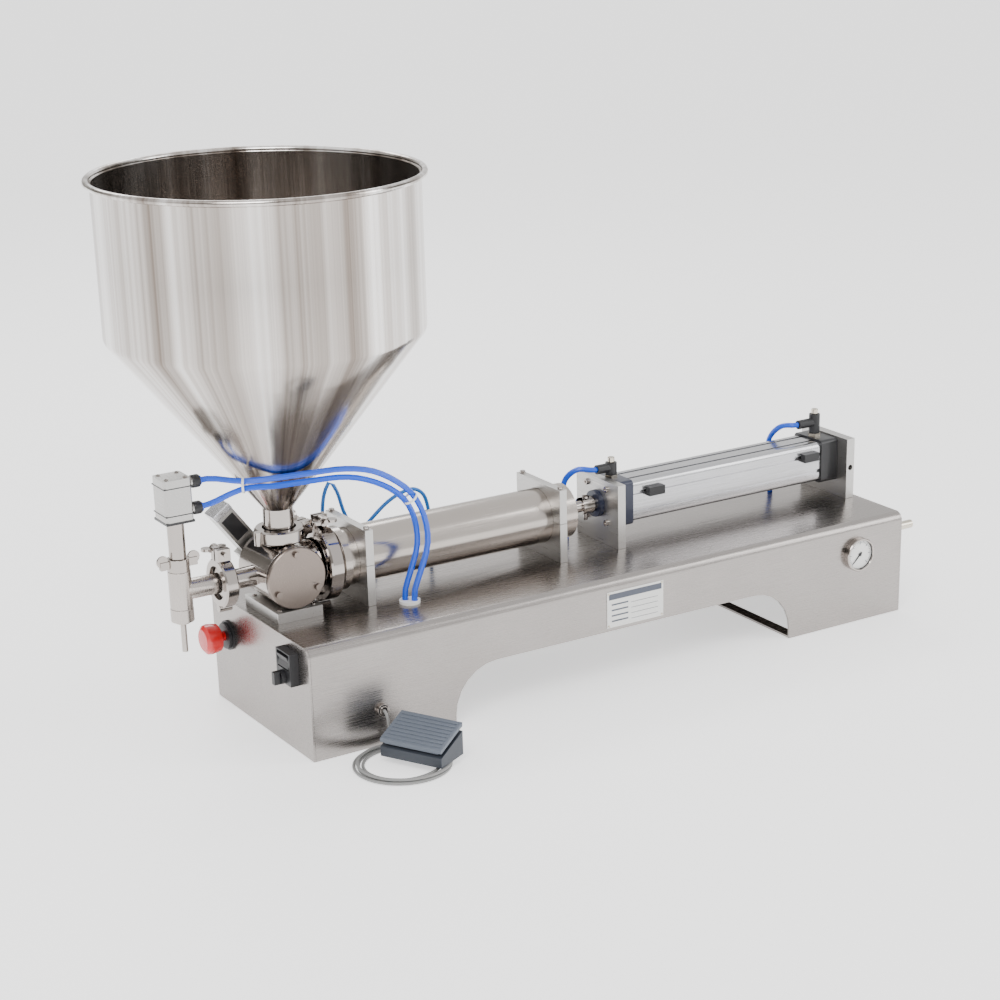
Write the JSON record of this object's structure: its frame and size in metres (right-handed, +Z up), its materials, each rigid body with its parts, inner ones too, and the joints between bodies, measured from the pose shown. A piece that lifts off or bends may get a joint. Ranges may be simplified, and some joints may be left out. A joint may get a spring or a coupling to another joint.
{
  "type": "piston liquid filler",
  "caption": "Bench piston filler: steel hopper over a three-way valve, air-driven product cylinder, shut-off nozzle, sheet cabinet and foot pedal.",
  "frame": {"origin": "middle of the standing object's box seen from above, on the floor", "axes": "+X along the machine from the nozzle to the air cylinder, +Y away from the pedal side, +Z up"},
  "size_m": [1.119, 0.481, 0.688],
  "materials": {
    "polished_steel": "polished stainless steel",
    "sheet_steel": "brushed stainless sheet",
    "satin_aluminium": "satin machined aluminium",
    "barrel_aluminium": "bright anodised aluminium",
    "navy_head": "dark navy satin",
    "black_head": "satin black",
    "black_plastic": "matte black",
    "seal_plastic": "white food-grade plastic",
    "blue_tube": "semi-gloss blue polyurethane",
    "red_plastic": "gloss red",
    "pedal_plastic": "ribbed blue-grey plastic",
    "brass_nickel": "nickel-plated brass",
    "cable_grey": "grey cable sheath"
  },
  "bodies": {
    "machine": {"actuator_housing": "satin_aluminium", "actuator_tube": "blue_tube", "air_barrel": "barrel_aluminium", "air_head_front": "navy_head", "air_head_rear": "black_head", "air_inlet": "brass_nickel", "cabinet_end_far": "sheet_steel", "cabinet_end_near": "sheet_steel", "cabinet_shell": "sheet_steel", "cord": "cable_grey", "cord_coil": "cable_grey", "cord_gland": "black_plastic", "cylinder_clamp": "polished_steel", "cylinder_tube_front": "blue_tube", "cylinder_tube_rear": "blue_tube", "e_stop_base": "black_plastic", "front_support_base": "satin_aluminium", "front_support_cap": "satin_aluminium", "gauge_case": "black_plastic", "head_plate_front": "satin_aluminium", "head_plate_rear": "satin_aluminium", "hopper": "polished_steel", "hopper_clamp": "polished_steel", "hopper_neck": "polished_steel", "nozzle_body": "polished_steel", "nozzle_bonnet": "polished_steel", "nozzle_clamp": "polished_steel", "nozzle_cylinder": "satin_aluminium", "nozzle_tip": "polished_steel", "nozzle_tube_lower": "blue_tube", "nozzle_tube_upper": "blue_tube", "outlet_clamp": "polished_steel", "pedal_base": "pedal_plastic", "product_cylinder": "polished_steel", "rear_support_base": "satin_aluminium", "rear_support_cap": "satin_aluminium", "solenoid_valves": "black_plastic", "speed_control_front": "black_plastic", "speed_control_rear": "black_plastic", "switch_block": "black_plastic", "tube_grommet": "seal_plastic", "valve_body": "polished_steel", "valve_cover": "polished_steel", "valve_saddle": "satin_aluminium"},
    "piston_train": {"product_piston": "seal_plastic", "piston_rod": "polished_steel", "air_piston": "polished_steel"},
    "valve_rotor": {"valve_spool": "polished_steel"},
    "rack": {"actuator_rack": "polished_steel"},
    "shutoff_stem": {"nozzle_stem": "polished_steel"},
    "stop_button": {"e_stop_button": "red_plastic"},
    "rocker": {"switch_rocker": "black_plastic"},
    "selector": {"selector_knob": "black_plastic"},
    "treadle": {"pedal_treadle": "pedal_plastic"},
    "hopper_nut": {"hopper_clamp_nut": "polished_steel"},
    "outlet_nut": {"outlet_clamp_nut": "polished_steel"},
    "cylinder_nut": {"cylinder_clamp_nut": "polished_steel"},
    "needle": {"gauge_needle": "black_plastic"},
    "front_switch": {"reed_switch_front": "black_plastic"},
    "rear_switch": {"reed_switch_rear": "black_plastic"}
  },
  "joints": [
    {"name": "piston_stroke", "type": "slide", "parent": "machine", "child": "piston_train", "axis": [1, 0, 0], "range_m": [-0.265, 0]},
    {"name": "valve_turn", "type": "hinge", "parent": "machine", "child": "valve_rotor", "pos_m": [-0.3595, 0.0377, 0.198], "axis": [0, 1, 0], "range_deg": [0, 90]},
    {"name": "rack_slide", "type": "slide", "parent": "machine", "child": "rack", "axis": [-0.5962, 0, 0.8028], "range_m": [0, 0.011]},
    {"name": "nozzle_shutoff", "type": "slide", "parent": "machine", "child": "shutoff_stem", "axis": [0, 0, 1], "range_m": [0, 0.012]},
    {"name": "stop_press", "type": "slide", "parent": "machine", "child": "stop_button", "axis": [1, 0, 0], "range_m": [0, 0.006]},
    {"name": "rocker_tilt", "type": "hinge", "parent": "machine", "child": "rocker", "pos_m": [-0.4085, -0.0678, 0.1215], "axis": [0, 1, 0], "range_deg": [0, 12]},
    {"name": "selector_turn", "type": "hinge", "parent": "machine", "child": "selector", "pos_m": [-0.4175, -0.0673, 0.101], "axis": [1, 0, 0], "range_deg": [-45, 45]},
    {"name": "treadle_press", "type": "hinge", "parent": "machine", "child": "treadle", "pos_m": [-0.31253, -0.19498, 0.0274], "axis": [-0.4695, 0.8829, 0], "range_deg": [0, 5], "stiffness_Nm_per_rad": 2, "springref_deg": -2.86},
    {"name": "hopper_nut_turn", "type": "hinge", "parent": "machine", "child": "hopper_nut", "pos_m": [-0.32233, 0.0426, 0.246], "axis": [-0.2079, 0.9781, 0], "range_deg": [-30, 30]},
    {"name": "outlet_nut_turn", "type": "hinge", "parent": "machine", "child": "outlet_nut", "pos_m": [-0.4395, 0.0477, 0.236], "axis": [0, 1, 0], "range_deg": [-30, 30]},
    {"name": "cylinder_nut_turn", "type": "hinge", "parent": "machine", "child": "cylinder_nut", "pos_m": [-0.3045, 0.0227, 0.254], "axis": [0, 1, 0], "range_deg": [-30, 30]},
    {"name": "needle_turn", "type": "hinge", "parent": "machine", "child": "needle", "pos_m": [0.4475, -0.1183, 0.1], "axis": [0, 1, 0], "range_deg": [0, 270], "stiffness_Nm_per_rad": 0.0005},
    {"name": "front_switch_slide", "type": "slide", "parent": "machine", "child": "front_switch", "axis": [1, 0, 0], "range_m": [-0.015, 0.12]},
    {"name": "rear_switch_slide", "type": "slide", "parent": "machine", "child": "rear_switch", "axis": [1, 0, 0], "range_m": [-0.12, 0.005]}
  ],
  "couplings": [
    {"joint": "rack_slide", "follows": "valve_turn", "m_per_rad": 0.007}
  ]
}
